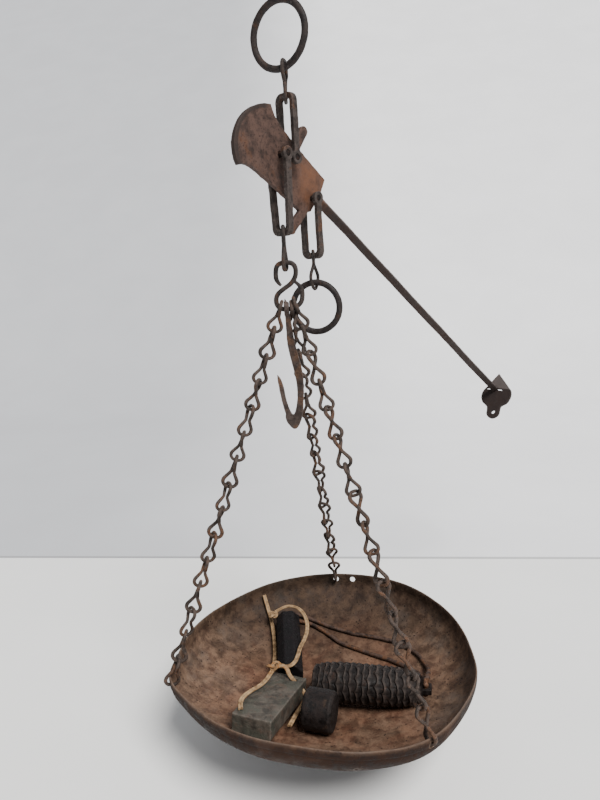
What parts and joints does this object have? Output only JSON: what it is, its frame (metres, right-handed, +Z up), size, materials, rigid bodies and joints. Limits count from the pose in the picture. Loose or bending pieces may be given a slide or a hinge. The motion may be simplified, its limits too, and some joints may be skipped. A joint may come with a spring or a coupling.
{
  "type": "steelyard",
  "caption": "Hand-held steelyard with a fan-headed beam, shackles and rings, a load hook and a chained dish that holds loose iron weights.",
  "frame": {"origin": "the spot inside the holding ring that the hand holds, plumb over the beam's upper pivot", "axes": "+Z up along the plumb line, +X to the viewer's right, +Y away from the viewer; the beam points to the right and away"},
  "size_m": [0.2967, 0.3094, 0.4579],
  "materials": {
    "ring_iron": "brown rusted wrought iron",
    "link_iron": "dark rusted wire",
    "beam_iron": "brown rusted forged plate with orange rust",
    "shackle_iron": "dark forged strap with worn edges",
    "pin_iron": "dark pin",
    "hook_iron": "brown rusted flat hook",
    "chain_iron": "brown iron wire",
    "dish_iron": "mottled rusty sheet, orange in the middle",
    "poise_iron": "dark cast iron",
    "bail_iron": "dark wire",
    "bar_iron": "black iron",
    "block_iron": "grey-green weathered metal",
    "cylinder_iron": "black iron",
    "lace_leather": "tan rawhide lace"
  },
  "bodies": {
    "holding_ring": {"hand_ring": "ring_iron"},
    "eye_link": {"eye_link": "link_iron"},
    "top_shackle": {"top_shackle": "shackle_iron"},
    "beam": {"beam": "beam_iron", "fulcrum_pin_upper": "pin_iron", "load_pin": "pin_iron", "fulcrum_pin_lower": "pin_iron", "end_plate": "beam_iron"},
    "load_shackle": {"load_shackle": "shackle_iron"},
    "load_link": {"load_link": "link_iron"},
    "s_hook": {"s_hook": "link_iron"},
    "load_hook": {"load_hook": "hook_iron"},
    "dish": {"pan": "dish_iron", "chain_left": "chain_iron", "chain_rear": "chain_iron", "chain_right": "chain_iron"},
    "lower_shackle": {"second_shackle": "shackle_iron"},
    "twisted_link": {"twisted_link": "link_iron"},
    "lower_ring": {"lower_ring": "ring_iron"},
    "poise": {"poise": "poise_iron", "poise_bail": "bail_iron"},
    "tied_weights": {"bar_weight": "bar_iron", "block_weight": "block_iron", "lace_loop": "lace_leather", "lace_tie": "lace_leather"},
    "cylinder_weight": {"cylinder_weight": "cylinder_iron"}
  },
  "joints": [
    {"name": "link_on_ring", "type": "hinge", "parent": "holding_ring", "child": "eye_link", "pos_m": [0, 0, -0.03416], "axis": [0.8314, -0.5399, 0.1311], "range_deg": [-12, 12]},
    {"name": "shackle_on_link", "type": "hinge", "parent": "eye_link", "child": "top_shackle", "pos_m": [0, 0, -0.05271], "axis": [0, 1, 0], "range_deg": [-5, 5]},
    {"name": "beam_tilt", "type": "hinge", "parent": "top_shackle", "child": "beam", "pos_m": [0, 0, -0.08501], "axis": [0.7071, -0.7071, 0], "range_deg": [-14, 75]},
    {"name": "load_shackle_swing", "type": "hinge", "parent": "beam", "child": "load_shackle", "pos_m": [-0.00658, -0.00658, -0.08361], "axis": [0.7071, -0.7071, 0], "range_deg": [-75, 0.5]},
    {"name": "load_link_swing", "type": "hinge", "parent": "load_shackle", "child": "load_link", "pos_m": [-0.00658, -0.00658, -0.12496], "axis": [0, 1, 0], "range_deg": [-4, 4]},
    {"name": "s_hook_swing", "type": "hinge", "parent": "load_link", "child": "s_hook", "pos_m": [-0.00658, -0.00658, -0.14771], "axis": [1, 0, 0], "range_deg": [-20, 6]},
    {"name": "load_hook_swing", "type": "hinge", "parent": "s_hook", "child": "load_hook", "pos_m": [-0.00738, -0.00658, -0.17511], "axis": [1, 0, 0], "range_deg": [-30, 8]},
    {"name": "dish_swing", "type": "hinge", "parent": "s_hook", "child": "dish", "pos_m": [-0.00698, -0.00658, -0.17511], "axis": [1, 0, 0], "range_deg": [-2.5, 2.5]},
    {"name": "lower_shackle_swing", "type": "hinge", "parent": "beam", "child": "lower_shackle", "pos_m": [0.01153, 0.01153, -0.10821], "axis": [0.7071, -0.7071, 0], "range_deg": [-4, 40]},
    {"name": "twisted_link_swing", "type": "hinge", "parent": "lower_shackle", "child": "twisted_link", "pos_m": [0.01153, 0.01153, -0.13996], "axis": [0.7071, 0.7071, 0], "range_deg": [-4, 15]},
    {"name": "lower_ring_swing", "type": "hinge", "parent": "twisted_link", "child": "lower_ring", "pos_m": [0.01153, 0.01153, -0.16056], "axis": [0.9397, -0.342, 0], "range_deg": [-6, 20]},
    {"name": "poise_lift", "type": "slide", "parent": "dish", "child": "poise", "axis": [0, 0, 1], "range_m": [0, 0.06]},
    {"name": "tied_weights_lift", "type": "slide", "parent": "dish", "child": "tied_weights", "axis": [0, 0, 1], "range_m": [0, 0.06]},
    {"name": "cylinder_lift", "type": "slide", "parent": "dish", "child": "cylinder_weight", "axis": [0, 0, 1], "range_m": [0, 0.06]}
  ]
}
